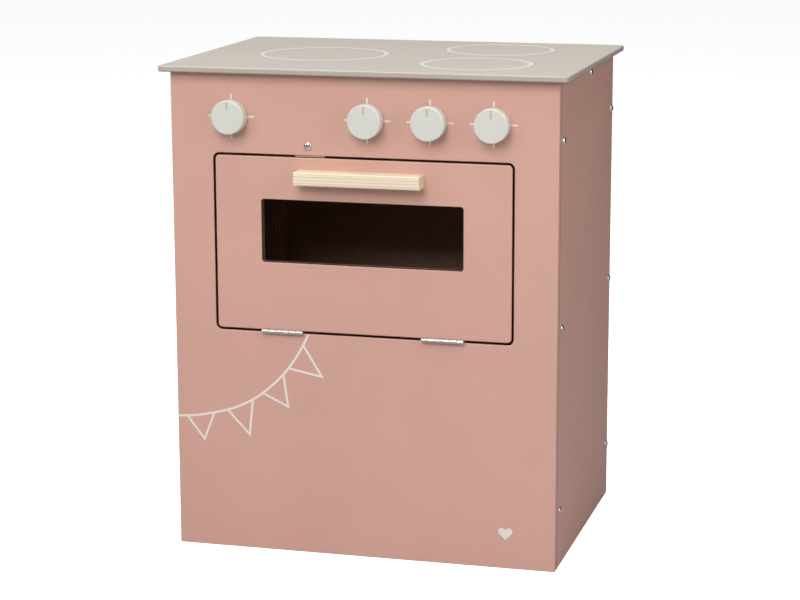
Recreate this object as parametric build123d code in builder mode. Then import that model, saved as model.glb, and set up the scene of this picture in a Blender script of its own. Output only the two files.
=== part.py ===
from build123d import *
import os

# Toy cooker with a bottom-hinged oven door, four knobs and a hob worktop.
# Millimetres, +Z up, +Y from front to back, +X to the viewer's right.
# Origin: centre of the whole object's footprint, on the floor.

# ---------------------------------------------------------------- cabinet
body_width = 400.0
body_depth = 292.5
body_height = 495.5
board = 9.0                      # painted MDF of front, sides and door
back_board = 3.0                 # hardboard back, let in between the sides
floor_board = 6.0                # oven floor and bottom panel
edge_round = 1.2                 # sprayed MDF edges
seam_round = 0.5                 # broken edges of the front-to-side butt joints

worktop_thick = 6.0
overhang_side = 10.0
overhang_front = 11.25
overhang_back = 11.25
worktop_corner = 5.0
worktop_round = 1.6

batten_x = 18.0                  # corner battens, across
batten_y = 22.0                  # corner battens, front to back
cleat = 18.0                     # top cleats, square
floor_cleat_x = 15.0
floor_cleat_z = 15.0

# ---------------------------------------------------------------- oven door
cut_width = 312.0
cut_bottom = 231.4
cut_top = 414.4
cut_corner = 6.5
door_gap = 2.4
door_corner = 4.5
door_round = 1.3
window_width = 210.0
window_bottom = 303.8
window_top = 368.6
window_corner = 3.0
window_x = -0.5

handle_length = 130.0
handle_height = 13.6
handle_depth = 19.0
handle_x = -0.9
handle_z = 393.0
handle_round = 1.8

# ---------------------------------------------------------------- hinges
hinge_length = 43.5
hinge_x = 83.9                   # hinge centres, left and right
knuckle_r = 2.35
pin_r = 1.2
pin_play = 0.05
knuckle_gap = 0.3
knuckle_round = 0.25             # eased ends of each knuckle
knuckles = 6
leaf = 1.0
leaf_end = 10.9                  # far edge of a leaf, from the hinge axis
leaf_clear = 2.8                 # notch of a leaf, from the hinge axis

# ---------------------------------------------------------------- knobs
knob_r = 17.3
knob_thick = 12.6
knob_stand = 0.9                 # washer between knob and panel
knob_round = 1.5
knob_z = 451.5
knob_xs = (-135.7, 6.1, 70.6, 134.6)
pointer_length = 8.0
pointer_width = 2.0
pointer_depth = 0.3
knob_play = 0.05

# ---------------------------------------------------------------- fasteners
side_head_r = 4.2
side_head_h = 2.4
side_shank_r = 1.75
side_length = 26.0
side_front_y = 20.0              # front screw column, behind the front face
side_rear_y = 280.5
side_zs = (59.0, 247.3, 435.3)
top_screw_y = 158.8
top_screw_z = 487.3

catch_x = -53.8
catch_width = 30.6
catch_thick = 16.0
catch_bottom = 398.0
catch_top = 434.0
catch_relief = 0.4
tongue_thick = 1.6                # stop tongue that fills the gap over the door
tongue_setback = 0.9
catch_screw_x = -55.5
catch_screw_z = 424.0
magnet_x = -53.8
magnet_z = 405.5

# ---------------------------------------------------------------- derived
# The footprint runs from the handle's front to the worktop's rear edge.
y0 = -((body_depth + overhang_back) - handle_depth) / 2      # front face plane
yb = y0 + body_depth                                        # rear face plane
yi = y0 + board                                             # inside of the front
side_in = body_width / 2 - board
back_in = yb - back_board
door_width = cut_width - 2 * door_gap
door_bottom = cut_bottom + door_gap
door_top = cut_top - door_gap
axis_y = y0 - knuckle_r
axis_z = cut_bottom + door_gap / 2
total = body_height + worktop_thick

os.makedirs("parts", exist_ok=True)

print("front plane y", y0, "hinge axis y", axis_y, "z", axis_z, "height", total)


def box(x1, x2, y1, y2, z1, z2, mode=Mode.ADD):
    """A rectangular block given by its limits, in the active part."""
    with Locations(((x1 + x2) / 2, (y1 + y2) / 2, (z1 + z2) / 2)):
        Box(x2 - x1, y2 - y1, z2 - z1, mode=mode)


def pan_screw(head_r, head_h, shank_r, length, cross):
    """Pan-head cross-recess screw: head up from z = 0, shank down."""
    with BuildPart() as screw:
        with BuildSketch(Plane.XZ):
            with BuildLine():
                Polyline(
                    (0, head_h), (0, -length), (shank_r * 0.25, -length),
                    (shank_r, -length + 2.2 * shank_r), (shank_r, 0), (head_r, 0),
                    (head_r, head_h * 0.32),
                )
                ThreePointArc(
                    (head_r, head_h * 0.32), (head_r * 0.78, head_h * 0.8), (0, head_h)
                )
            make_face()
        revolve(axis=Axis.Z)
        with BuildSketch(Plane.XY.offset(head_h + 0.1)):
            Rectangle(cross, cross * 0.24)
            Rectangle(cross * 0.24, cross)
        extrude(amount=-(head_h * 0.6 + 0.1), mode=Mode.SUBTRACT)
    return screw.part


def flat_screw(head_r, shank_r, length, cross):
    """Countersunk cross-recess screw: flat head at z = 0, all below it."""
    head_h = head_r - shank_r
    with BuildPart() as screw:
        with BuildSketch(Plane.XZ):
            with BuildLine():
                Polyline(
                    (0, 0), (0, -length), (shank_r * 0.25, -length),
                    (shank_r, -length + 2.2 * shank_r), (shank_r, -head_h),
                    (head_r, 0), (0, 0),
                )
            make_face()
        revolve(axis=Axis.Z)
        with BuildSketch(Plane.XY.offset(0.1)):
            Rectangle(cross, cross * 0.24)
            Rectangle(cross * 0.24, cross)
        extrude(amount=-(head_h * 0.6 + 0.1), mode=Mode.SUBTRACT)
    return screw.part


def facing(x, y, z, direction, turn=0.0):
    """Plane at a point whose normal is the way a screw head looks, turned about it."""
    across = (1, 0, 0) if abs(direction[0]) < 0.5 else (0, 1, 0)
    x_dir = Vector(*across).rotate(Axis((0, 0, 0), direction), turn)
    return Plane(origin=(x, y, z), x_dir=x_dir, z_dir=direction)


# Screw patterns. Each entry is the plane under a head, or of a flat head.
right_side_at = [
    facing(body_width / 2, y0 + y, z, (1, 0, 0), a)
    for (y, z, a) in (
        (side_front_y, side_zs[0], 12), (side_front_y, side_zs[1], 50),
        (side_front_y, side_zs[2], 33), (side_rear_y, side_zs[0], 71),
        (side_rear_y, side_zs[1], 5), (side_rear_y, side_zs[2], 40),
        (top_screw_y, top_screw_z, 22),
    )
]
left_side_at = [
    facing(-body_width / 2, y0 + y, z, (-1, 0, 0), a)
    for (y, z, a) in (
        (side_front_y, side_zs[0], 30), (side_front_y, side_zs[1], 8),
        (side_front_y, side_zs[2], 61), (side_rear_y, side_zs[0], 45),
        (side_rear_y, side_zs[1], 78), (side_rear_y, side_zs[2], 17),
        (top_screw_y, top_screw_z, 52),
    )
]
batten_mid = side_in - batten_x / 2
front_at = [
    facing(s * batten_mid, yi + batten_y, z, (0, 1, 0), 20 * k)
    for s in (-1, 1) for k, z in enumerate((110.0, 300.0, 462.0))
]
back_at = [
    facing(s * batten_mid, yb, z, (0, 1, 0), 25 * k)
    for s in (-1, 1) for k, z in enumerate((32.0, 170.0, 325.0, 466.0))
]
worktop_at = [
    facing(s * batten_mid, y0 + y, body_height - cleat, (0, 0, -1), 15)
    for s in (-1, 1) for y in (75.0, 230.0)
]
oven_floor_z = cut_bottom - 3.4
oven_floor_at = [
    facing(s * (side_in - floor_cleat_x / 2), y0 + y, oven_floor_z, (0, 0, 1), 35)
    for s in (-1, 1) for y in (60.0, 150.0, 240.0)
]
floor_cleat_at = [
    facing(s * (side_in - floor_cleat_x), y0 + y, oven_floor_z - floor_board - floor_cleat_z / 2,
           (-s, 0, 0), 10)
    for s in (-1, 1) for y in (90.0, 200.0)
]
bottom_at = [
    facing(s * batten_mid, y, 0.0, (0, 0, -1), 40)
    for s in (-1, 1) for y in (yi + batten_y / 2, back_in - batten_y / 2)
]
handle_at = [
    facing(handle_x + s * 43.0, yi, handle_z, (0, 1, 0), 30 + 20 * s) for s in (-1, 1)
]
catch_screw_at = [facing(catch_screw_x, y0, catch_screw_z, (0, -1, 0), 18)]
strike_at = [facing(magnet_x, yi - 0.1, magnet_z, (0, 1, 0), 0)]
knob_screw_at = [facing(x, yi + 1.05, knob_z, (0, 1, 0), 0) for x in knob_xs]

play = 0.05                       # screws sit this much clear of their holes
hinge_screw_y = axis_y + 7.0
hinge_screw_dx = (-13.5, 13.5)
fixed_leaf_at = [
    facing(s * hinge_x + dx, hinge_screw_y, cut_bottom + leaf, (0, 0, 1), 28)
    for s in (-1, 1) for dx in hinge_screw_dx
]
door_leaf_at = [
    facing(s * hinge_x + dx, hinge_screw_y, door_bottom - leaf, (0, 0, -1), 28)
    for s in (-1, 1) for dx in hinge_screw_dx
]

# ================================================================ worktop
with BuildPart() as worktop:
    with BuildSketch(Plane.XY.offset(body_height)):
        with Locations((0, (y0 - overhang_front + yb + overhang_back) / 2)):
            RectangleRounded(
                body_width + 2 * overhang_side,
                body_depth + overhang_front + overhang_back,
                worktop_corner,
            )
    extrude(amount=worktop_thick)
    fillet(worktop.edges().group_by(Axis.Z)[-1], radius=worktop_round)
    fillet(worktop.edges().group_by(Axis.Z)[0], radius=worktop_round)
    with Locations(*worktop_at):
        Hole(radius=side_shank_r + play, depth=cleat + 4.6)
worktop.part.label = "worktop"
export_step(worktop.part, "parts/worktop.step")

# ================================================================ front panel
with BuildPart() as front_panel:
    with BuildSketch(Plane.XZ.offset(-yi)):
        with Locations((0, body_height / 2)):
            Rectangle(body_width, body_height)
        with Locations((0, (cut_bottom + cut_top) / 2)):
            RectangleRounded(cut_width, cut_top - cut_bottom, cut_corner, mode=Mode.SUBTRACT)
    extrude(amount=board)
    front_edges = front_panel.faces().sort_by(Axis.Y)[0].edges()
    outer = [
        e for e in front_edges
        if abs(e.center().X) > body_width / 2 - 0.5 and e.length > body_height - 1
    ]
    hole_rim = [
        e for e in front_edges
        if abs(e.center().X) < cut_width / 2 + 1 and cut_bottom - 1 < e.center().Z < cut_top + 1
    ]
    fillet(outer, radius=edge_round)
    fillet(hole_rim, radius=0.8)
    rear_outer = [
        e for e in front_panel.faces().sort_by(Axis.Y)[-1].edges()
        if abs(e.center().X) > body_width / 2 - 0.5 and e.length > body_height - 1
    ]
    fillet(rear_outer, radius=seam_round)
    with Locations(*[Plane(origin=(x, y0, knob_z), z_dir=(0, -1, 0)) for x in knob_xs]):
        Hole(radius=2.0 + knob_play, depth=board)
    with Locations(*catch_screw_at):
        Hole(radius=side_shank_r + play, depth=board)
    with Locations(*front_at):
        Hole(radius=side_shank_r + play, depth=batten_y + 6.2)
    with Locations(*fixed_leaf_at):
        Hole(radius=1.25 + play, depth=12.0)
front_panel.part.label = "front_panel"
export_step(front_panel.part, "parts/front_panel.step")

# ================================================================ side panels
with BuildPart() as right_side_panel:
    box(side_in, body_width / 2, yi, yb, 0, body_height)
    fillet(
        right_side_panel.edges().filter_by(Axis.Z).sort_by(Axis.X)[-2:].sort_by(Axis.Y)[-1:],
        radius=edge_round,
    )
    fillet(
        right_side_panel.faces().sort_by(Axis.Y)[0].edges().sort_by(Axis.X)[-1:],
        radius=seam_round,
    )
    with Locations(*right_side_at):
        Hole(radius=side_shank_r + play, depth=board)
    with Locations(*floor_cleat_at):
        Hole(radius=side_shank_r + play, depth=floor_cleat_x + 6.2)
right_side_panel.part.label = "right_side_panel"
export_step(right_side_panel.part, "parts/right_side_panel.step")

with BuildPart() as left_side_panel:
    box(-body_width / 2, -side_in, yi, yb, 0, body_height)
    fillet(
        left_side_panel.edges().filter_by(Axis.Z).sort_by(Axis.X)[:2].sort_by(Axis.Y)[-1:],
        radius=edge_round,
    )
    fillet(
        left_side_panel.faces().sort_by(Axis.Y)[0].edges().sort_by(Axis.X)[:1],
        radius=seam_round,
    )
    with Locations(*left_side_at):
        Hole(radius=side_shank_r + play, depth=board)
    with Locations(*floor_cleat_at):
        Hole(radius=side_shank_r + play, depth=floor_cleat_x + 6.2)
left_side_panel.part.label = "left_side_panel"
export_step(left_side_panel.part, "parts/left_side_panel.step")

# ================================================================ back, bottom, oven floor
with BuildPart() as back_panel:
    box(-side_in, side_in, back_in, yb, 0, body_height)
    with Locations(*back_at):
        Hole(radius=1.5 + play, depth=back_board)
back_panel.part.label = "back_panel"
export_step(back_panel.part, "parts/back_panel.step")

with BuildPart() as bottom_panel:
    box(-side_in, side_in, yi, back_in, 0, floor_board)
    with Locations(*bottom_at):
        CounterSinkHole(radius=side_shank_r + play, counter_sink_radius=3.6, depth=floor_board)
bottom_panel.part.label = "bottom_panel"
export_step(bottom_panel.part, "parts/bottom_panel.step")

with BuildPart() as oven_floor:
    with BuildSketch(Plane.XY.offset(oven_floor_z - floor_board)):
        with Locations((0, (yi + back_in) / 2)):
            Rectangle(2 * side_in, back_in - yi)
            # corner notches round the battens
            with Locations(
                *[(s * batten_mid, t * ((back_in - yi) / 2 - batten_y / 2))
                  for s in (-1, 1) for t in (-1, 1)]
            ):
                Rectangle(batten_x, batten_y, mode=Mode.SUBTRACT)
    extrude(amount=floor_board)
    with Locations(*oven_floor_at):
        CounterSinkHole(radius=side_shank_r + play, counter_sink_radius=3.6, depth=floor_board)
oven_floor.part.label = "oven_floor"
export_step(oven_floor.part, "parts/oven_floor.step")

# ================================================================ battens
batten_top = body_height
with BuildPart() as front_left_batten:
    box(-side_in, -side_in + batten_x, yi, yi + batten_y, floor_board, batten_top)
    chamfer(front_left_batten.edges().filter_by(Axis.Z).sort_by(Axis.X)[-2:].sort_by(Axis.Y)[-1:], length=0.8)
    with Locations(*left_side_at):
        Hole(radius=side_shank_r + play, depth=side_length)
    with Locations(*front_at):
        CounterSinkHole(radius=side_shank_r + play, counter_sink_radius=3.6, depth=batten_y)
    with Locations(*bottom_at):
        Hole(radius=side_shank_r + play, depth=side_length)
front_left_batten.part.label = "front_left_batten"
export_step(front_left_batten.part, "parts/front_left_batten.step")

with BuildPart() as front_right_batten:
    box(side_in - batten_x, side_in, yi, yi + batten_y, floor_board, batten_top)
    chamfer(front_right_batten.edges().filter_by(Axis.Z).sort_by(Axis.X)[:2].sort_by(Axis.Y)[-1:], length=0.8)
    with Locations(*right_side_at):
        Hole(radius=side_shank_r + play, depth=side_length)
    with Locations(*front_at):
        CounterSinkHole(radius=side_shank_r + play, counter_sink_radius=3.6, depth=batten_y)
    with Locations(*bottom_at):
        Hole(radius=side_shank_r + play, depth=side_length)
front_right_batten.part.label = "front_right_batten"
export_step(front_right_batten.part, "parts/front_right_batten.step")

with BuildPart() as rear_left_batten:
    box(-side_in, -side_in + batten_x, back_in - batten_y, back_in, floor_board, batten_top)
    chamfer(rear_left_batten.edges().filter_by(Axis.Z).sort_by(Axis.X)[-2:].sort_by(Axis.Y)[:1], length=0.8)
    with Locations(*left_side_at):
        Hole(radius=side_shank_r + play, depth=side_length)
    with Locations(*back_at):
        Hole(radius=1.5 + play, depth=16.0)
    with Locations(*bottom_at):
        Hole(radius=side_shank_r + play, depth=side_length)
rear_left_batten.part.label = "rear_left_batten"
export_step(rear_left_batten.part, "parts/rear_left_batten.step")

with BuildPart() as rear_right_batten:
    box(side_in - batten_x, side_in, back_in - batten_y, back_in, floor_board, batten_top)
    chamfer(rear_right_batten.edges().filter_by(Axis.Z).sort_by(Axis.X)[:2].sort_by(Axis.Y)[:1], length=0.8)
    with Locations(*right_side_at):
        Hole(radius=side_shank_r + play, depth=side_length)
    with Locations(*back_at):
        Hole(radius=1.5 + play, depth=16.0)
    with Locations(*bottom_at):
        Hole(radius=side_shank_r + play, depth=side_length)
rear_right_batten.part.label = "rear_right_batten"
export_step(rear_right_batten.part, "parts/rear_right_batten.step")

# ================================================================ cleats
cleat_y1, cleat_y2 = yi + batten_y, back_in - batten_y
with BuildPart() as left_top_cleat:
    box(-side_in, -side_in + cleat, cleat_y1, cleat_y2, body_height - cleat, body_height)
    with Locations(*left_side_at):
        Hole(radius=side_shank_r + play, depth=side_length)
    with Locations(*worktop_at):
        CounterSinkHole(radius=side_shank_r + play, counter_sink_radius=3.6, depth=cleat)
left_top_cleat.part.label = "left_top_cleat"
export_step(left_top_cleat.part, "parts/left_top_cleat.step")

with BuildPart() as right_top_cleat:
    box(side_in - cleat, side_in, cleat_y1, cleat_y2, body_height - cleat, body_height)
    with Locations(*right_side_at):
        Hole(radius=side_shank_r + play, depth=side_length)
    with Locations(*worktop_at):
        CounterSinkHole(radius=side_shank_r + play, counter_sink_radius=3.6, depth=cleat)
right_top_cleat.part.label = "right_top_cleat"
export_step(right_top_cleat.part, "parts/right_top_cleat.step")

fc_top = oven_floor_z - floor_board
with BuildPart() as left_floor_cleat:
    box(-side_in, -side_in + floor_cleat_x, cleat_y1, cleat_y2, fc_top - floor_cleat_z, fc_top)
    with Locations(*oven_floor_at):
        Hole(radius=side_shank_r + play, depth=floor_board + 13.0)
    with Locations(*floor_cleat_at):
        CounterSinkHole(radius=side_shank_r + play, counter_sink_radius=3.6, depth=floor_cleat_x)
left_floor_cleat.part.label = "left_floor_cleat"
export_step(left_floor_cleat.part, "parts/left_floor_cleat.step")

with BuildPart() as right_floor_cleat:
    box(side_in - floor_cleat_x, side_in, cleat_y1, cleat_y2, fc_top - floor_cleat_z, fc_top)
    with Locations(*oven_floor_at):
        Hole(radius=side_shank_r + play, depth=floor_board + 13.0)
    with Locations(*floor_cleat_at):
        CounterSinkHole(radius=side_shank_r + play, counter_sink_radius=3.6, depth=floor_cleat_x)
right_floor_cleat.part.label = "right_floor_cleat"
export_step(right_floor_cleat.part, "parts/right_floor_cleat.step")

# ================================================================ cabinet screws
side_screw = pan_screw(side_head_r, side_head_h, side_shank_r, side_length - 0.5, 4.4)
with BuildPart() as right_side_screws:
    with Locations(*right_side_at):
        add(side_screw)
right_side_screws.part.label = "right_side_screws"
export_step(right_side_screws.part, "parts/right_side_screws.step")

with BuildPart() as left_side_screws:
    with Locations(*left_side_at):
        add(side_screw)
left_side_screws.part.label = "left_side_screws"
export_step(left_side_screws.part, "parts/left_side_screws.step")

front_screw = flat_screw(3.5, side_shank_r, batten_y + 6.0, 4.0)
with BuildPart() as front_panel_screws:
    with Locations(*front_at):
        add(front_screw)
front_panel_screws.part.label = "front_panel_screws"
export_step(front_panel_screws.part, "parts/front_panel_screws.step")

back_screw = pan_screw(3.4, 1.9, 1.5, 15.5, 3.8)
with BuildPart() as back_panel_screws:
    with Locations(*back_at):
        add(back_screw)
back_panel_screws.part.label = "back_panel_screws"
export_step(back_panel_screws.part, "parts/back_panel_screws.step")

worktop_screw = flat_screw(3.5, side_shank_r, cleat + 4.2, 4.0)
with BuildPart() as worktop_screws:
    with Locations(*worktop_at):
        add(worktop_screw)
worktop_screws.part.label = "worktop_screws"
export_step(worktop_screws.part, "parts/worktop_screws.step")

floor_screw = flat_screw(3.5, side_shank_r, floor_board + 12.5, 4.0)
with BuildPart() as oven_floor_screws:
    with Locations(*oven_floor_at):
        add(floor_screw)
oven_floor_screws.part.label = "oven_floor_screws"
export_step(oven_floor_screws.part, "parts/oven_floor_screws.step")

cleat_screw = flat_screw(3.5, side_shank_r, floor_cleat_x + 6.0, 4.0)
with BuildPart() as floor_cleat_screws:
    with Locations(*floor_cleat_at):
        add(cleat_screw)
floor_cleat_screws.part.label = "floor_cleat_screws"
export_step(floor_cleat_screws.part, "parts/floor_cleat_screws.step")

bottom_screw = flat_screw(3.5, side_shank_r, side_length - 0.5, 4.0)
with BuildPart() as bottom_panel_screws:
    with Locations(*bottom_at):
        add(bottom_screw)
bottom_panel_screws.part.label = "bottom_panel_screws"
export_step(bottom_panel_screws.part, "parts/bottom_panel_screws.step")

# ================================================================ door catch
with BuildPart() as door_catch_block:
    box(catch_x - catch_width / 2, catch_x + catch_width / 2,
        yi, yi + catch_thick, catch_bottom, catch_top)
    # the part behind the door stands back from it
    box(catch_x - catch_width, catch_x + catch_width,
        yi - 1, yi + catch_relief, catch_bottom - 1, cut_top, mode=Mode.SUBTRACT)
    chamfer(door_catch_block.faces().sort_by(Axis.Y)[-1].edges(), length=1.0)
    # tongue that reaches forward through the gap, just under the edge of the cut-out
    box(catch_x - catch_width / 2, catch_x + catch_width / 2,
        y0 + tongue_setback, yi + catch_relief + 1.0,
        cut_top - 0.1 - tongue_thick, cut_top - 0.1)
    with Locations(*catch_screw_at):
        Hole(radius=side_shank_r + play, depth=22.5)
    with Locations(Plane(origin=(magnet_x, yi + catch_relief, magnet_z), z_dir=(0, -1, 0))):
        Hole(radius=4.0 + play, depth=3.1)
door_catch_block.part.label = "door_catch_block"
export_step(door_catch_block.part, "parts/door_catch_block.step")

with BuildPart() as catch_screw:
    with Locations(*catch_screw_at):
        add(pan_screw(4.3, 2.2, side_shank_r, 22.0, 4.6))
catch_screw.part.label = "catch_screw"
export_step(catch_screw.part, "parts/catch_screw.step")

with BuildPart() as catch_magnet:
    with BuildSketch(Plane.XZ.offset(-(yi + catch_relief + 3.05))):
        with Locations((magnet_x, magnet_z)):
            Circle(4.0)
    extrude(amount=3.0)
    chamfer(catch_magnet.edges().group_by(Axis.Y)[0], length=0.3)
catch_magnet.part.label = "catch_magnet"
export_step(catch_magnet.part, "parts/catch_magnet.step")

# ================================================================ oven door
with BuildPart() as door_panel:
    with BuildSketch(Plane.XZ.offset(-yi)):
        with Locations((0, (door_bottom + door_top) / 2)):
            RectangleRounded(door_width, door_top - door_bottom, door_corner)
        with Locations((window_x, (window_bottom + window_top) / 2)):
            RectangleRounded(
                window_width, window_top - window_bottom, window_corner, mode=Mode.SUBTRACT
            )
    extrude(amount=board)
    face_edges = door_panel.faces().sort_by(Axis.Y)[0].edges()
    fillet(
        [e for e in face_edges
         if abs(e.center().X) > window_width / 2 + 5
         or not (window_bottom - 2 < e.center().Z < window_top + 2)],
        radius=door_round,
    )
    rear_edges = door_panel.faces().sort_by(Axis.Y)[-1].edges()
    fillet(
        [e for e in rear_edges
         if abs(e.center().X) > window_width / 2 + 5
         or not (window_bottom - 2 < e.center().Z < window_top + 2)],
        radius=0.6,
    )
    inner = door_panel.faces().sort_by(Axis.Y)[0].edges()
    fillet(
        [e for e in inner
         if abs(e.center().X - window_x) < window_width / 2 + 1
         and window_bottom - 1 < e.center().Z < window_top + 1],
        radius=0.8,
    )
    with Locations(*handle_at):
        Hole(radius=side_shank_r + play, depth=board)
    with Locations(*strike_at):
        CounterBoreHole(radius=1.25 + play, counter_bore_radius=6.0 + play,
                        counter_bore_depth=1.0, depth=8.0)
    with Locations(Plane(origin=(magnet_x, yi, magnet_z), z_dir=(0, 1, 0))):
        Hole(radius=6.0 + play, depth=0.5)
    with Locations(*door_leaf_at):
        Hole(radius=1.25 + play, depth=12.0)
door_panel.part.label = "door_panel"
export_step(door_panel.part, "parts/door_panel.step")

with BuildPart() as door_handle:
    box(handle_x - handle_length / 2, handle_x + handle_length / 2,
        y0 - handle_depth, y0, handle_z - handle_height / 2, handle_z + handle_height / 2)
    fillet(door_handle.faces().sort_by(Axis.Y)[0].edges(), radius=handle_round)
    fillet(door_handle.edges().filter_by(Axis.Y), radius=0.8)
    with Locations(*handle_at):
        Hole(radius=side_shank_r + play, depth=board + 14.5)
door_handle.part.label = "door_handle"
export_step(door_handle.part, "parts/door_handle.step")

with BuildPart() as handle_screws:
    with Locations(*handle_at):
        add(pan_screw(3.5, 2.0, side_shank_r, board + 14.0, 4.0))
handle_screws.part.label = "handle_screws"
export_step(handle_screws.part, "parts/handle_screws.step")

with BuildPart() as strike_plate:
    with BuildSketch(Plane.XZ.offset(-(yi - 0.1))):
        with Locations((magnet_x, magnet_z)):
            Circle(6.0)
    extrude(amount=0.95)
    with Locations(*strike_at):
        CounterSinkHole(radius=1.25 + play, counter_sink_radius=2.2, depth=1.0)
strike_plate.part.label = "strike_plate"
export_step(strike_plate.part, "parts/strike_plate.step")

with BuildPart() as strike_screw:
    with Locations(*strike_at):
        add(flat_screw(2.1, 1.25, 7.8, 2.2))
strike_screw.part.label = "strike_screw"
export_step(strike_screw.part, "parts/strike_screw.step")

# ================================================================ hinges
seg = (hinge_length - (knuckles - 1) * knuckle_gap) / knuckles


def hinge_leaf(centre_x, first, up):
    """One leaf: a plate with every second knuckle, first = 0 or 1 from the left.
    up = 1 for the door's leaf above the mid-gap, -1 for the cabinet's below."""
    z_out = axis_z + up * door_gap / 2
    z_in = z_out - up * leaf
    lo, hi = min(z_in, z_out), max(z_in, z_out)
    x_left = centre_x - hinge_length / 2
    with BuildPart() as part:
        # plate behind the barrel
        box(x_left, x_left + hinge_length, axis_y + leaf_clear, axis_y + leaf_end, lo, hi)
        for k in range(first, knuckles, 2):
            x1 = x_left + k * (seg + knuckle_gap)
            # tongue that rolls into the knuckle
            box(x1, x1 + seg, axis_y + pin_r + 0.3, axis_y + leaf_clear + 0.5, lo, hi)
            # knuckle with eased ends, turned about the pin's axis
            with BuildSketch(Plane.XY.offset(axis_z)):
                with BuildLine():
                    Polyline(
                        (x1, axis_y), (x1, axis_y - knuckle_r + knuckle_round),
                        (x1 + knuckle_round, axis_y - knuckle_r),
                        (x1 + seg - knuckle_round, axis_y - knuckle_r),
                        (x1 + seg, axis_y - knuckle_r + knuckle_round),
                        (x1 + seg, axis_y), (x1, axis_y),
                    )
                make_face()
            revolve(axis=Axis((0, axis_y, axis_z), (1, 0, 0)))
        with BuildSketch(Plane.YZ.offset(x_left - 1)):
            with Locations((axis_y, axis_z)):
                Circle(pin_r + pin_play)
        extrude(amount=hinge_length + 2, mode=Mode.SUBTRACT)
        with Locations(
            *[facing(centre_x + dx, hinge_screw_y, z_in, (0, 0, -up)) for dx in hinge_screw_dx]
        ):
            CounterSinkHole(radius=1.25 + play, counter_sink_radius=2.2, depth=leaf)
    return part.part


with BuildPart() as left_hinge_fixed_leaf:
    add(hinge_leaf(-hinge_x, 0, -1), mode=Mode.ADD)
left_hinge_fixed_leaf.part.label = "left_hinge_fixed_leaf"
export_step(left_hinge_fixed_leaf.part, "parts/left_hinge_fixed_leaf.step")

with BuildPart() as right_hinge_fixed_leaf:
    add(hinge_leaf(hinge_x, 0, -1), mode=Mode.ADD)
right_hinge_fixed_leaf.part.label = "right_hinge_fixed_leaf"
export_step(right_hinge_fixed_leaf.part, "parts/right_hinge_fixed_leaf.step")

with BuildPart() as left_hinge_door_leaf:
    add(hinge_leaf(-hinge_x, 1, 1), mode=Mode.ADD)
left_hinge_door_leaf.part.label = "left_hinge_door_leaf"
export_step(left_hinge_door_leaf.part, "parts/left_hinge_door_leaf.step")

with BuildPart() as right_hinge_door_leaf:
    add(hinge_leaf(hinge_x, 1, 1), mode=Mode.ADD)
right_hinge_door_leaf.part.label = "right_hinge_door_leaf"
export_step(right_hinge_door_leaf.part, "parts/right_hinge_door_leaf.step")

with BuildPart() as left_hinge_pin:
    with BuildSketch(Plane.YZ.offset(-hinge_x - hinge_length / 2 + 0.1)):
        with Locations((axis_y, axis_z)):
            Circle(pin_r)
    extrude(amount=hinge_length - 0.2)
    chamfer(left_hinge_pin.edges().filter_by(GeomType.CIRCLE), length=0.25)
left_hinge_pin.part.label = "left_hinge_pin"
export_step(left_hinge_pin.part, "parts/left_hinge_pin.step")

with BuildPart() as right_hinge_pin:
    with BuildSketch(Plane.YZ.offset(hinge_x - hinge_length / 2 + 0.1)):
        with Locations((axis_y, axis_z)):
            Circle(pin_r)
    extrude(amount=hinge_length - 0.2)
    chamfer(right_hinge_pin.edges().filter_by(GeomType.CIRCLE), length=0.25)
right_hinge_pin.part.label = "right_hinge_pin"
export_step(right_hinge_pin.part, "parts/right_hinge_pin.step")

leaf_screw = flat_screw(2.1, 1.25, 11.8, 2.2)
with BuildPart() as fixed_leaf_screws:
    with Locations(*fixed_leaf_at):
        add(leaf_screw)
fixed_leaf_screws.part.label = "fixed_leaf_screws"
export_step(fixed_leaf_screws.part, "parts/fixed_leaf_screws.step")

with BuildPart() as door_leaf_screws:
    with Locations(*door_leaf_at):
        add(leaf_screw)
door_leaf_screws.part.label = "door_leaf_screws"
export_step(door_leaf_screws.part, "parts/door_leaf_screws.step")

# ================================================================ knobs
knob_back = y0 - knob_stand
for number, x in enumerate(knob_xs, 1):
    name = "knob_%d" % number
    with BuildPart() as knob:
        with BuildSketch(Plane.XZ.offset(-knob_back)):
            with Locations((x, knob_z)):
                Circle(knob_r)
        extrude(amount=knob_thick)
        fillet(knob.edges().group_by(Axis.Y)[0], radius=knob_round)
        fillet(knob.edges().group_by(Axis.Y)[-1], radius=0.6)
        # pointer groove, from near the rim towards the middle
        with BuildSketch(Plane.XZ.offset(-(knob_back - knob_thick))):
            with Locations((x, knob_z + knob_r - 2.0 - pointer_length / 2)):
                Rectangle(pointer_width, pointer_length)
        extrude(amount=-pointer_depth, mode=Mode.SUBTRACT)
        with Locations(Plane(origin=(x, knob_back, knob_z), z_dir=(0, 1, 0))):
            Hole(radius=2.0 + knob_play, depth=8.6)
    knob.part.label = name
    export_step(knob.part, "parts/" + name + ".step")

    # one washer in front of the panel, one behind it
    with BuildPart() as knob_washers:
        with BuildSketch(Plane.XZ.offset(-(y0 - 0.05))):
            with Locations((x, knob_z)):
                Circle(6.5)
                Circle(2.0 + knob_play, mode=Mode.SUBTRACT)
        extrude(amount=knob_stand - 0.1)
        with BuildSketch(Plane.XZ.offset(-(yi + 1.0))):
            with Locations((x, knob_z)):
                Circle(6.0)
                Circle(2.0 + knob_play, mode=Mode.SUBTRACT)
        extrude(amount=0.95)
    knob_washers.part.label = name + "_washers"
    export_step(knob_washers.part, "parts/" + name + "_washers.step")

    with BuildPart() as knob_screw:
        with Locations(knob_screw_at[number - 1]):
            add(pan_screw(4.0, 2.4, 2.0, board + 1.05 + knob_stand + 8.4, 4.4))
    knob_screw.part.label = name + "_screw"
    export_step(knob_screw.part, "parts/" + name + "_screw.step")
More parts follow.
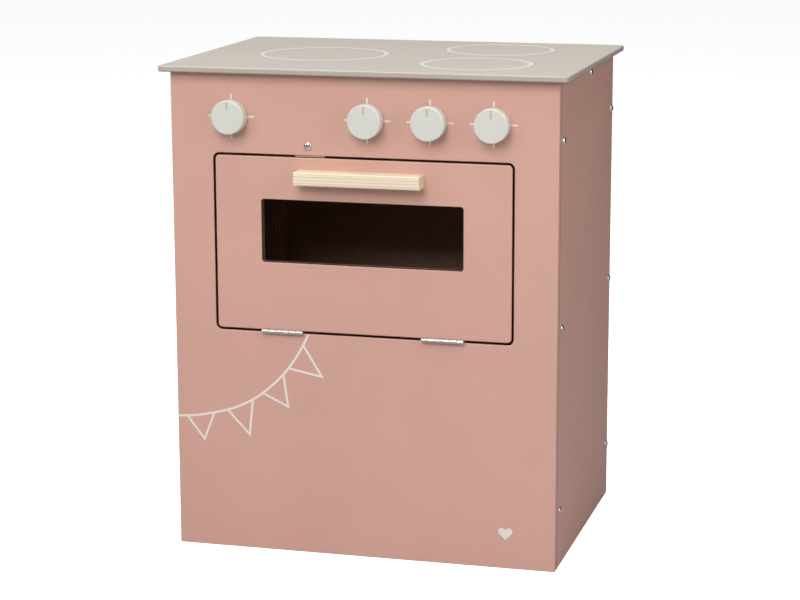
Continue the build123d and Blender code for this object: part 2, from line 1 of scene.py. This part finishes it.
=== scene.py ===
import bpy, bmesh, math
from mathutils import Vector, Matrix


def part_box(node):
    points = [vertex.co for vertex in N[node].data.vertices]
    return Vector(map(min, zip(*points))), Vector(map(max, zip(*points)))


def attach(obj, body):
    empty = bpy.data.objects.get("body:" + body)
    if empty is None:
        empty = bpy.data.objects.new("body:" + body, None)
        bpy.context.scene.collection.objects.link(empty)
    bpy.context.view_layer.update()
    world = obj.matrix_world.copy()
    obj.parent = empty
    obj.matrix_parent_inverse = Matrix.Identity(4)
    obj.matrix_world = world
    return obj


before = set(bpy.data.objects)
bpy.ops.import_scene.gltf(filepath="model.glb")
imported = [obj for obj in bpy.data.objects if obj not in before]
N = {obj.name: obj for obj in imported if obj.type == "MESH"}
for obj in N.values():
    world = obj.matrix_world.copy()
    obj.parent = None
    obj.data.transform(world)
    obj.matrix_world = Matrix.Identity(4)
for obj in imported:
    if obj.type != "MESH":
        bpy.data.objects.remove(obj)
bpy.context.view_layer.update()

scene = bpy.context.scene
COL = scene.collection

# ------------------------------------------------------------------ light plan
FLOOR_BOUNCE = 0.42
FLOOR_GLOW = 0.91
WORLD = 0.02
LIGHTS = (
    ("key_lower", (-0.185, -2.642, 1.688), (0, 0, 0.28), (1.5, 0.9), 26.4),
    ("key_upper", (-0.145, -2.079, 2.438), (0, 0, 0.28), (1.5, 0.9), 27.2),
    ("left_fill", (-1.538, -1.538, 1.294), (0, 0, 0.28), (1.0, 1.0), 9.4),
    ("overhead", (0, -0.1, 2.5), (0, 0, 0.4), (1.6, 1.6), 32.0),
    ("right_near", (1.25, -0.62, 0.80), (0.2, 0, 0.25), (0.7, 1.0), 6.3),
    ("right_far", (2.208, -0.31, 2.287), (0, 0, 0.28), (1.5, 1.2), 7.4),
    ("back_fill", (-2.05, 1.75, 0.85), (0, 0, 0.28), (1.4, 1.2), 9.0),
)


# ------------------------------------------------------------------ helpers
def srgb(r, g, b):
    def f(c):
        c /= 255.0
        return c / 12.92 if c <= 0.04045 else ((c + 0.055) / 1.055) ** 2.4
    return (f(r), f(g), f(b), 1.0)


class Mat:
    """Small builder for node materials."""

    def __init__(self, name):
        self.m = bpy.data.materials.new(name)
        self.m.use_nodes = True
        self.t = self.m.node_tree
        self.t.nodes.clear()
        self.out = self.n("ShaderNodeOutputMaterial")
        self.b = self.n("ShaderNodeBsdfPrincipled")
        self.t.links.new(self.b.outputs["BSDF"], self.out.inputs["Surface"])
        self.co = self.n("ShaderNodeTexCoord").outputs["Object"]

    def n(self, kind, **props):
        node = self.t.nodes.new(kind)
        for k, v in props.items():
            setattr(node, k, v)
        return node

    def l(self, a, b):
        self.t.links.new(a, b)

    def set(self, **kw):
        for k, v in kw.items():
            self.b.inputs[k.replace("_", " ")].default_value = v
        return self

    def mapping(self, scale=(1, 1, 1), rot=(0, 0, 0), loc=(0, 0, 0), src=None):
        mp = self.n("ShaderNodeMapping")
        mp.inputs["Scale"].default_value = scale
        mp.inputs["Rotation"].default_value = rot
        mp.inputs["Location"].default_value = loc
        self.l(src or self.co, mp.inputs["Vector"])
        return mp.outputs["Vector"]

    def noise(self, scale, detail=2.0, rough=0.5, vec=None, dist=0.0):
        nz = self.n("ShaderNodeTexNoise")
        nz.inputs["Scale"].default_value = scale
        nz.inputs["Detail"].default_value = detail
        nz.inputs["Roughness"].default_value = rough
        nz.inputs["Distortion"].default_value = dist
        self.l(vec or self.co, nz.inputs["Vector"])
        return nz.outputs["Fac"]

    def ramp(self, fac, stops, interp="LINEAR"):
        r = self.n("ShaderNodeValToRGB")
        r.color_ramp.interpolation = interp
        while len(r.color_ramp.elements) > 1:
            r.color_ramp.elements.remove(r.color_ramp.elements[-1])
        r.color_ramp.elements[0].position = stops[0][0]
        r.color_ramp.elements[0].color = stops[0][1]
        for p, c in stops[1:]:
            e = r.color_ramp.elements.new(p)
            e.color = c
        self.l(fac, r.inputs["Fac"])
        return r.outputs["Color"]

    def val(self, fac, a, b, lo=0.0, hi=1.0):
        mr = self.n("ShaderNodeMapRange")
        mr.inputs["From Min"].default_value = lo
        mr.inputs["From Max"].default_value = hi
        mr.inputs["To Min"].default_value = a
        mr.inputs["To Max"].default_value = b
        self.l(fac, mr.inputs["Value"])
        return mr.outputs["Result"]

    def math(self, op, a, b=None, c=None, clamp=False):
        m = self.n("ShaderNodeMath", operation=op, use_clamp=clamp)
        for i, v in enumerate((a, b, c)):
            if v is None:
                continue
            if isinstance(v, (int, float)):
                m.inputs[i].default_value = v
            else:
                self.l(v, m.inputs[i])
        return m.outputs[0]

    def mix(self, fac, a, b, mode="MIX"):
        mx = self.n("ShaderNodeMix", data_type="RGBA", blend_type=mode)
        if isinstance(fac, (int, float)):
            mx.inputs[0].default_value = fac
        else:
            self.l(fac, mx.inputs[0])
        for i, v in ((6, a), (7, b)):
            if isinstance(v, tuple):
                mx.inputs[i].default_value = v
            else:
                self.l(v, mx.inputs[i])
        return mx.outputs[2]

    def color(self, sock):
        self.l(sock, self.b.inputs["Base Color"])

    def rough(self, sock):
        self.l(sock, self.b.inputs["Roughness"])

    def bump(self, height, strength=0.2, distance=0.001, normal=None):
        bp = self.n("ShaderNodeBump")
        bp.inputs["Strength"].default_value = strength
        bp.inputs["Distance"].default_value = distance
        self.l(height, bp.inputs["Height"])
        if normal is not None:
            self.l(normal, bp.inputs["Normal"])
        return bp.outputs["Normal"]

    def normal(self, sock):
        self.l(sock, self.b.inputs["Normal"])

    def sep(self, vec=None):
        s = self.n("ShaderNodeSeparateXYZ")
        self.l(vec or self.co, s.inputs[0])
        return s.outputs[0], s.outputs[1], s.outputs[2]


def scale_col(c, k):
    return (c[0] * k, c[1] * k, c[2] * k, 1.0)


# ------------------------------------------------------------------ materials
BARE_EDGE_AND_SHADE = (srgb(96, 66, 52), srgb(74, 50, 40))        # cut edges in the openings: unpainted board colour, darkened further as painted shade of the recesses
BARE_FACE = (srgb(168, 138, 118), srgb(142, 114, 96))    # smooth unpainted faces inside


def inside(m, sock, lo_, hi_):
    """1 where lo_ < sock < hi_, else 0."""
    return m.math("MULTIPLY", m.math("GREATER_THAN", sock, lo_), m.math("LESS_THAN", sock, hi_))


def painted(name, col, rough=0.5, edge_box=None, tone=0.03, peel=0.06, bare_and_shade_boxes=None):
    """Sprayed paint on MDF: fine orange peel, slight tone drift, worn paler edges.
    The last argument lists boxes (corner, corner, colours) where the board is left unpainted or gets a painted shade
    colour."""
    m = Mat(name)
    m.set(Roughness=rough)
    big = m.noise(6.0, 3.0, 0.6)
    fine = m.noise(900.0, 2.0, 0.6)
    mid = m.noise(140.0, 3.0, 0.55)
    base = m.mix(m.val(big, 0.0, 1.0, 0.3, 0.7), scale_col(col, 1.0 - tone), scale_col(col, 1.0 + tone))
    base = m.mix(m.val(fine, 0.0, 0.5, 0.45, 0.75), base, scale_col(col, 0.965))
    if edge_box is not None:
        (ax, ay, az), (bx, by, bz) = edge_box
        x, y, z = m.sep()
        # distance to the nearest pair of box faces: small near an edge
        d = []
        for s, lo_, hi_ in ((x, ax, bx), (y, ay, by), (z, az, bz)):
            d.append(m.math("MINIMUM", m.math("SUBTRACT", s, lo_), m.math("SUBTRACT", hi_, s)))
        # an edge is where two of the three are small: the middle one of the three
        mx1 = m.math("MAXIMUM", d[0], d[1])
        mn1 = m.math("MINIMUM", d[0], d[1])
        second = m.math("MAXIMUM", mn1, m.math("MINIMUM", mx1, d[2]))
        near = m.val(second, 1.0, 0.0, 0.0002, 0.0016)
        wear = m.math("MULTIPLY", near, m.val(m.noise(70.0, 4.0, 0.65), 0.0, 1.0, 0.42, 0.72), clamp=True)
        base = m.mix(m.math("MULTIPLY", wear, 0.55), base, scale_col(col, 1.14))
    shine = m.val(mid, rough - 0.05, rough + 0.07, 0.3, 0.7)
    if bare_and_shade_boxes:
        x, y, z = m.sep()
        felt = m.val(m.noise(1.0, 4.0, 0.7, vec=m.mapping((420.0, 650.0, 520.0))), 0.0, 1.0, 0.3, 0.75)
        for (ax, ay, az), (bx, by, bz), (pale, deep) in bare_and_shade_boxes:
            # inside each box the colour is replaced: unpainted board, or a painted shade tone
            box_mask = m.math("MULTIPLY", inside(m, x, ax, bx),
                          m.math("MULTIPLY", inside(m, y, ay, by), inside(m, z, az, bz)))
            base = m.mix(box_mask, base, m.mix(felt, deep, pale))
            shine = m.math("ADD", shine, m.math("MULTIPLY", box_mask, 0.2), clamp=True)
    m.color(base)
    m.rough(shine)
    n1 = m.bump(m.noise(520.0, 2.0, 0.5), peel, 0.0004)
    n2 = m.bump(m.noise(60.0, 2.0, 0.5), 0.05, 0.0008, n1)
    m.normal(n2)
    return m.m


PINK = srgb(212, 165, 150)
GREY = srgb(196, 188, 178)


def box_of(node):
    a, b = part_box(node)
    return (tuple(a), tuple(b))


def wood(name, light, dark, axis="X", ring=0.0032, centre=(0.0, 0.0), rough=0.55, waver=0.0012, pore=0.12, contrast=1.0):
    """Softwood: growth rings about a line along the grain, fine fibres, pores, end grain."""
    m = Mat(name)
    m.set(Roughness=rough)
    x, y, z = m.sep()
    if axis == "X":
        p, q = y, z
        stretch = (3.0, 60.0, 60.0)
        fib = (14.0, 900.0, 900.0)
    elif axis == "Y":
        p, q = x, z
        stretch = (60.0, 3.0, 60.0)
        fib = (900.0, 14.0, 900.0)
    else:
        p, q = x, y
        stretch = (60.0, 60.0, 3.0)
        fib = (900.0, 900.0, 14.0)
    wob = m.noise(1.0, 3.0, 0.55, vec=m.mapping(stretch))
    dp = m.math("SUBTRACT", p, centre[0])
    dq = m.math("SUBTRACT", q, centre[1])
    r = m.math("SQRT", m.math("ADD", m.math("MULTIPLY", dp, dp), m.math("MULTIPLY", dq, dq)))
    r = m.math("ADD", r, m.math("MULTIPLY", m.math("SUBTRACT", wob, 0.5), waver * 2.0))
    slow = m.noise(1.0, 1.0, 0.5, vec=m.mapping(tuple(0.35 * s for s in stretch)))
    r = m.math("ADD", r, m.math("MULTIPLY", m.math("SUBTRACT", slow, 0.5), waver * 2.5))
    ph = m.math("FRACT", m.math("DIVIDE", r, ring))
    late = m.ramp(ph, [(0.0, (0, 0, 0, 1)), (0.45, (0.12, 0.12, 0.12, 1)), (0.82, (0.9, 0.9, 0.9, 1)),
                       (0.92, (1, 1, 1, 1)), (1.0, (0, 0, 0, 1))])
    fibre = m.noise(1.0, 3.0, 0.6, vec=m.mapping(fib))
    mixf = m.math("ADD", m.math("MULTIPLY", late, 0.75 * contrast),
                  m.math("MULTIPLY", m.math("SUBTRACT", fibre, 0.5), 0.45 * contrast), clamp=True)
    col = m.mix(mixf, light, dark)
    drift = m.noise(9.0, 2.0, 0.5)
    col = m.mix(m.val(drift, 0.0, 0.25, 0.35, 0.7), col, scale_col(dark, 0.97))
    m.color(col)
    m.rough(m.val(fibre, rough - 0.06, rough + 0.10, 0.3, 0.7))
    h = m.math("ADD", m.math("MULTIPLY", fibre, 0.6), m.math("MULTIPLY", late, 0.4))
    m.normal(m.bump(h, pore, 0.0005))
    return m.m


def metal(name, col, rough=0.3, brush=0.05):
    m = Mat(name)
    m.set(Metallic=1.0, Roughness=rough)
    a = m.noise(700.0, 3.0, 0.6)
    b = m.noise(90.0, 3.0, 0.6)
    m.color(m.mix(m.val(b, 0.0, 1.0, 0.35, 0.7), scale_col(col, 0.88), col))
    m.rough(m.val(a, rough - 0.08, rough + 0.12, 0.3, 0.7))
    m.normal(m.bump(a, brush, 0.0002))
    return m.m


def board(name, col, dark, rough=0.75):
    """Raw MDF or hardboard: fine felted fibres."""
    m = Mat(name)
    m.set(Roughness=rough)
    f1 = m.noise(1.0, 4.0, 0.7, vec=m.mapping((420.0, 650.0, 520.0)))
    f2 = m.noise(45.0, 4.0, 0.6)
    c = m.mix(m.val(f1, 0.0, 1.0, 0.3, 0.75), dark, col)
    c = m.mix(m.val(f2, 0.0, 0.35, 0.35, 0.7), c, scale_col(dark, 0.9))
    m.color(c)
    m.rough(m.val(f1, rough - 0.08, rough + 0.1, 0.3, 0.7))
    m.normal(m.bump(f1, 0.12, 0.0004))
    return m.m


def ink(name, col, rough=0.42):
    """Screen-printed paint: thin, with small density changes."""
    m = Mat(name)
    m.set(Roughness=rough)
    a = m.noise(300.0, 3.0, 0.6)
    b = m.noise(1400.0, 1.0, 0.5)
    m.color(m.mix(m.val(a, 0.0, 1.0, 0.3, 0.7), scale_col(col, 0.95), col))
    m.rough(m.val(b, rough - 0.05, rough + 0.08, 0.3, 0.7))
    m.normal(m.bump(b, 0.06, 0.0002))
    return m.m


def give(node, mat):
    o = N[node]
    o.data.materials.clear()
    o.data.materials.append(mat)


FP, DP, BP = box_of("front_panel"), box_of("door_panel"), box_of("back_panel")
LP, RP, WT = box_of("left_side_panel"), box_of("right_side_panel"), box_of("worktop")
# the boards are painted outside and unpainted on the faces inside; the cut edges in the openings are unpainted board
# with painted shade, and the side-to-front joints and the worktop's edges get painted shade
BIG = 1.0
SEAM_SHADE = (srgb(104, 74, 64), srgb(84, 60, 52))     # painted shade: a dark strip on the side boards' front 0.8 mm, for the shade in the open joint behind the front panel
# front panel: the edges round the door opening get unpainted board colour with painted shade; the rear face is
# unpainted
give("front_panel", painted("paint_front", PINK, 0.5, FP, bare_and_shade_boxes=[
    ((-0.185, FP[0][1] + 0.0012, 0.02), (0.185, BIG, 0.46), BARE_EDGE_AND_SHADE),
    ((-BIG, FP[1][1] - 0.0003, -BIG), (BIG, BIG, BIG), BARE_FACE)]))
# side panels: a painted shade strip at the front joint; the inner face is unpainted
give("right_side_panel", painted("paint_side_r", PINK, 0.5, RP, bare_and_shade_boxes=[
    ((-BIG, -BIG, -BIG), (BIG, RP[0][1] + 0.0008, BIG), SEAM_SHADE),
    ((-BIG, -BIG, -BIG), (RP[0][0] + 0.0003, BIG, BIG), BARE_FACE)]))
give("left_side_panel", painted("paint_side_l", PINK, 0.5, LP, bare_and_shade_boxes=[
    ((-BIG, -BIG, -BIG), (BIG, LP[0][1] + 0.0008, BIG), SEAM_SHADE),
    ((LP[1][0] - 0.0003, -BIG, -BIG), (BIG, BIG, BIG), BARE_FACE)]))
# door: all its edges, the window reveals included, get unpainted board colour with painted shade
give("door_panel", painted("paint_door", PINK, 0.5, DP, bare_and_shade_boxes=[
    ((-BIG, DP[0][1] + 0.0012, -BIG), (BIG, DP[1][1] - 0.0008, BIG), BARE_EDGE_AND_SHADE)]))
# painted shade: the worktop's edge faces are painted darker than its top, for the shade on faces turned away from the
# overhead light
WORKTOP_EDGE_SHADE = (tuple(c * k for c, k in zip(GREY[:3], (0.84, 0.81, 0.80))) + (1.0,),
             tuple(c * k for c, k in zip(GREY[:3], (0.80, 0.77, 0.76))) + (1.0,))
# worktop: painted shade on its edge faces; the underside is unpainted
give("worktop", painted("paint_worktop", GREY, 0.56, WT, tone=0.02, bare_and_shade_boxes=[
    ((-BIG, -BIG, -BIG), (BIG, BIG, WT[1][2] - 0.0005), WORKTOP_EDGE_SHADE),
    ((-0.19, -0.13, -BIG), (0.19, 0.14, WT[0][2] + 0.0003), BARE_FACE)]))
give("back_panel", painted("paint_back", scale_col(PINK, 0.96), 0.6, BP, bare_and_shade_boxes=[
    ((-BIG, -BIG, -BIG), (BIG, BP[0][1] + 0.0003, BIG), (srgb(206, 174, 158), srgb(184, 150, 134)))]))

KNOB = srgb(214, 214, 206)
for k in range(1, 5):
    give("knob_%d" % k, painted("paint_knob_%d" % k, KNOB, 0.42, None, tone=0.015, peel=0.05))

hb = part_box("door_handle")
give("door_handle", wood("pine_handle", srgb(245, 232, 210), srgb(214, 192, 157), "X", ring=0.0030,
                         centre=(hb[0].y - 0.012, hb[0].z - 0.030), waver=0.0005, contrast=1.1, rough=0.5))

for node in ("front_left_batten", "front_right_batten", "rear_left_batten", "rear_right_batten"):
    a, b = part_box(node)
    give(node, wood("pine_" + node, srgb(230, 202, 166), srgb(192, 156, 118), "Z", ring=0.0034,
                    centre=(a.x - 0.014, a.y - 0.022), waver=0.0014))
for node in ("left_top_cleat", "right_top_cleat", "left_floor_cleat", "right_floor_cleat"):
    a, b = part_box(node)
    give(node, wood("pine_" + node, srgb(230, 202, 166), srgb(192, 156, 118), "Y", ring=0.0034,
                    centre=(a.x - 0.006, a.z - 0.02), waver=0.0014))
a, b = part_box("door_catch_block")
give("door_catch_block", wood("beech_block", srgb(172, 138, 116), srgb(144, 110, 90), "X", ring=0.0022,
                              centre=(a.y - 0.03, a.z - 0.02), waver=0.0006, contrast=0.6))
mdf = board("mdf_raw", srgb(192, 160, 132), srgb(160, 130, 104))
for node in ("bottom_panel", "oven_floor"):
    give(node, mdf)

zinc = metal("zinc_screw", srgb(222, 225, 230), 0.24)
hinge = metal("zinc_hinge", srgb(214, 214, 212), 0.36, 0.08)
dark_metal = metal("magnet_nickel", srgb(120, 120, 122), 0.3)
nylon = painted("nylon_washer", srgb(205, 200, 190), 0.5, None)
for node in N:
    if node.endswith("screws") or node.endswith("_screw") or node == "strike_plate":
        give(node, zinc)
    elif "hinge" in node:
        give(node, hinge)
    elif node.endswith("washers"):
        give(node, nylon)
    elif node == "catch_magnet":
        give(node, dark_metal)

# ------------------------------------------------------------------ prints
WHITE = srgb(236, 229, 220)
print_front = ink("print_white", WHITE)
print_top = ink("print_rings", srgb(233, 233, 232), 0.38)
THICK = 0.00007


def solid_from_loops(name, loops, place, thick=THICK, sink=0.00006, mat=None):
    """A thin flat piece from outline loops in 2D (outer first, holes after)."""
    cu = bpy.data.curves.new(name + "_c", "CURVE")
    cu.dimensions = "2D"
    cu.fill_mode = "BOTH"
    for lp in loops:
        s = cu.splines.new("POLY")
        s.points.add(len(lp) - 1)
        for i, (u, v) in enumerate(lp):
            s.points[i].co = (u, v, 0, 1)
        s.use_cyclic_u = True
    cu.extrude = (thick + sink) / 2
    tmp = bpy.data.objects.new(name + "_t", cu)
    COL.objects.link(tmp)
    bpy.context.view_layer.update()
    me = bpy.data.meshes.new_from_object(tmp.evaluated_get(bpy.context.evaluated_depsgraph_get()))
    bpy.data.objects.remove(tmp)
    bpy.data.curves.remove(cu)
    bm = bmesh.new()
    bm.from_mesh(me)
    bmesh.ops.remove_doubles(bm, verts=bm.verts, dist=1e-7)
    bmesh.ops.translate(bm, verts=bm.verts, vec=(0, 0, (thick - sink) / 2))
    bmesh.ops.transform(bm, matrix=place, verts=bm.verts)
    bmesh.ops.recalc_face_normals(bm, faces=bm.faces)
    bm.to_mesh(me)
    bm.free()
    me.name = name
    o = bpy.data.objects.new(name, me)
    COL.objects.link(o)
    if mat:
        me.materials.append(mat)
    return o


fa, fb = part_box("front_panel")
YF = fa.y
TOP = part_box("worktop")[1].z
ON_FRONT = Matrix(((1, 0, 0, 0), (0, 0, -1, YF), (0, 1, 0, 0), (0, 0, 0, 1)))   # u -> X, v -> Z, out -> -Y
ON_TOP = Matrix(((1, 0, 0, 0), (0, 1, 0, 0), (0, 0, 1, TOP), (0, 0, 0, 1)))


def circle(c, r, n=180):
    return [(c[0] + r * math.cos(2 * math.pi * i / n), c[1] + r * math.sin(2 * math.pi * i / n)) for i in range(n)]


# hob rings
for name, c, r in (("hob_ring_large", (-0.0798, YF + 0.1391), 0.0653),
                   ("hob_ring_rear", (0.0906, YF + 0.2220), 0.0556),
                   ("hob_ring_front", (0.0979, YF + 0.0811), 0.0551)):
    o = solid_from_loops(name, [circle(c, r + 0.0020), circle(c, r - 0.0020)], ON_TOP, mat=print_top)
    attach(o, "cabinet")

# knob scales: four short ticks on the panel round each knob
for k in range(1, 5):
    a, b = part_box("knob_%d" % k)
    cx, cz = (a.x + b.x) / 2, (a.z + b.z) / 2
    loops = []
    w = 0.00085
    for ang, r2 in ((0, 0.0242), (90, 0.0229), (180, 0.0242), (270, 0.0229)):
        ca, sa = math.cos(math.radians(ang)), math.sin(math.radians(ang))
        pts = [(0.0150, -w), (r2, -w), (r2, w), (0.0150, w)]
        loops.append([(cx + p * ca - q * sa, cz + p * sa + q * ca) for p, q in pts])
    o = solid_from_loops("knob_scale_%d" % k, loops, ON_FRONT, mat=print_front)
    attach(o, "cabinet")


def ribbon(points, w):
    """Outline of a line of width w along points."""
    left, right = [], []
    for i, p in enumerate(points):
        a = Vector(points[max(i - 1, 0)])
        b = Vector(points[min(i + 1, len(points) - 1)])
        d = (b - a).normalized()
        n = Vector((-d.y, d.x))
        left.append(tuple(Vector(p) + n * w / 2))
        right.append(tuple(Vector(p) - n * w / 2))
    return left + right[::-1]


def smooth(pts, per=14):
    out = []
    P = [Vector(p) for p in pts]
    P = [P[0] * 2 - P[1]] + P + [P[-1] * 2 - P[-2]]
    for i in range(1, len(P) - 2):
        for s in range(per):
            t = s / per
            a, b, c, d = P[i - 1], P[i], P[i + 1], P[i + 2]
            out.append(tuple(0.5 * ((2 * b) + (c - a) * t + (2 * a - 5 * b + 4 * c - d) * t * t + (3 * b - a - 3 * c + d) * t ** 3)))
    out.append(tuple(P[-2]))
    return out


MM = 0.001
cord = [(-199.9, 136.8), (-180.0, 138.6), (-159.3, 142.9), (-138.0, 149.2), (-117.3, 159.4), (-101.0, 171.5),
        (-84.3, 187.7), (-72.0, 204.0), (-62.7, 219.7), (-57.2, 230.9)]
cord = [(x * MM, z * MM) for x, z in cord]
flags = [((-189.5, 137.6), (-171.0, 113.7), (-160.0, 142.4)),
         ((-145.5, 146.9), (-121.5, 121.8), (-117.7, 159.1)),
         ((-107.1, 167.0), (-79.6, 154.0), (-84.3, 187.5)),
         ((-79.2, 194.6), (-43.2, 187.8), (-62.7, 219.5))]
LINE = 0.0023
o = solid_from_loops("pennant_cord", [ribbon(smooth(cord), LINE)], ON_FRONT, mat=print_front)
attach(o, "cabinet")
for i, tri in enumerate(flags, 1):
    pts = [Vector((x * MM, z * MM)) for x, z in tri]
    path = [pts[0], pts[1], pts[2]]
    # two sides of the flag as one mitred line that starts and ends in the cord
    d1, d2 = (path[1] - path[0]).normalized(), (path[2] - path[1]).normalized()
    n1, n2 = Vector((-d1.y, d1.x)), Vector((-d2.y, d2.x))
    mit = (n1 + n2).normalized()
    ml = (LINE / 2) / max(0.2, mit.dot(n1))
    loop = [path[0] + n1 * LINE / 2, path[1] + mit * ml, path[2] + n2 * LINE / 2,
            path[2] - n2 * LINE / 2, path[1] - mit * ml, path[0] - n1 * LINE / 2]
    o = solid_from_loops("pennant_%d" % i, [[tuple(v) for v in loop]], ON_FRONT, thick=THICK * 0.7, mat=print_front)
    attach(o, "cabinet")

# a plain heart, low on the right
heart = []
for i in range(72):
    t = 2 * math.pi * i / 72
    hx = 16 * math.sin(t) ** 3
    hz = 13 * math.cos(t) - 5 * math.cos(2 * t) - 2 * math.cos(3 * t) - math.cos(4 * t)
    heart.append(((148.8 + hx * 0.46) * MM, (37.0 + hz * 0.46) * MM))
o = solid_from_loops("heart_print", [heart], ON_FRONT, mat=print_front)
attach(o, "cabinet")

# painted line in each knob's pointer groove
pointer_mat = ink("pointer_khaki", srgb(198, 187, 156), 0.5)
for k in range(1, 5):
    a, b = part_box("knob_%d" % k)
    cx, cz, r = (a.x + b.x) / 2, (a.z + b.z) / 2, (b.z - a.z) / 2
    z1 = cz + r - 0.0020
    z2 = z1 - 0.0080
    place = Matrix(((1, 0, 0, 0), (0, 0, -1, a.y + 0.0003), (0, 1, 0, 0), (0, 0, 0, 1)))
    e = 0.00003
    lp = [(cx - 0.001 + e, z2 + e), (cx + 0.001 - e, z2 + e), (cx + 0.001 - e, z1 - e), (cx - 0.001 + e, z1 - e)]
    o = solid_from_loops("knob_pointer_%d" % k, [lp], place, thick=0.00022, sink=0.00002, mat=pointer_mat)
    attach(o, "knob_%d" % k)

# ------------------------------------------------------------------ stage
def seen_only(m, seen, other):
    """White where the camera looks straight at it, darker for light that bounces off it."""
    lp = m.n("ShaderNodeLightPath")
    return m.mix(lp.outputs["Is Camera Ray"], other, seen)


floor_m = Mat("stage_floor")
floor_m.set(Roughness=0.9)
fz = floor_m.noise(40.0, 2.0, 0.5)
pale = floor_m.mix(fz, (0.925, 0.925, 0.925, 1), (0.935, 0.935, 0.935, 1))
floor_m.color(seen_only(floor_m, pale, (FLOOR_BOUNCE, FLOOR_BOUNCE, FLOOR_BOUNCE, 1)))
floor_m.l(seen_only(floor_m, (FLOOR_GLOW, FLOOR_GLOW, FLOOR_GLOW, 1), (0, 0, 0, 1)), floor_m.b.inputs["Emission Color"])
floor_m.set(Emission_Strength=1.0)
bm = bmesh.new()
bmesh.ops.create_circle(bm, cap_ends=True, segments=96, radius=40.0)
me = bpy.data.meshes.new("floor")
bm.to_mesh(me)
bm.free()
floor = bpy.data.objects.new("floor", me)
COL.objects.link(floor)
floor.location = (0, 0, -0.0004)
me.materials.append(floor_m.m)


def area(name, loc, target, size, power, color=(1, 1, 1)):
    li = bpy.data.lights.new(name, "AREA")
    li.shape = "RECTANGLE"
    li.size, li.size_y = size
    li.energy = power
    li.color = color
    o = bpy.data.objects.new(name, li)
    COL.objects.link(o)
    o.location = loc
    o.rotation_mode = "QUATERNION"
    o.rotation_quaternion = (Vector(loc) - Vector(target)).to_track_quat("Z", "Y")
    return o


for _name, _loc, _target, _size, _power in LIGHTS:
    if _power > 0:
        area(_name, _loc, _target, _size, _power)

world = bpy.data.worlds.new("studio")
scene.world = world
world.use_nodes = True
wt = world.node_tree
bg = wt.nodes["Background"]
bg.inputs["Color"].default_value = (1, 1, 1, 1)
# the surround looks as pale as the floor, but lights the object only faintly
wlp = wt.nodes.new("ShaderNodeLightPath")
wma = wt.nodes.new("ShaderNodeMath")
wma.operation = "MULTIPLY_ADD"
wma.inputs[1].default_value = 0.96 - WORLD
wma.inputs[2].default_value = WORLD
wt.links.new(wlp.outputs["Is Camera Ray"], wma.inputs[0])
wt.links.new(wma.outputs[0], bg.inputs["Strength"])

scene.view_settings.view_transform = "Standard"
scene.view_settings.look = "None"
scene.view_settings.exposure = 0.0

# ------------------------------------------------------------------ camera
cam = bpy.data.cameras.new("camera")
cam_o = bpy.data.objects.new("camera", cam)
COL.objects.link(cam_o)
scene.camera = cam_o
cam.sensor_width = 36.0
cam.lens = 36.0 * 2327.6 / 800.0
cam.clip_end = 50
yaw, roll, pitch = math.radians(15.223), math.radians(-0.163), math.radians(-11.953)
C = Vector((0.6379, -2.1992 + YF, 0.7545))
fwd = Vector((-math.sin(yaw) * math.cos(pitch), math.cos(yaw) * math.cos(pitch), math.sin(pitch)))
right = Vector((math.cos(yaw), math.sin(yaw), 0))
up = right.cross(fwd)
r2 = right * math.cos(roll) + up * math.sin(roll)
u2 = -right * math.sin(roll) + up * math.cos(roll)
M = Matrix(((r2.x, u2.x, -fwd.x, C.x), (r2.y, u2.y, -fwd.y, C.y), (r2.z, u2.z, -fwd.z, C.z), (0, 0, 0, 1)))
cam_o.matrix_world = M
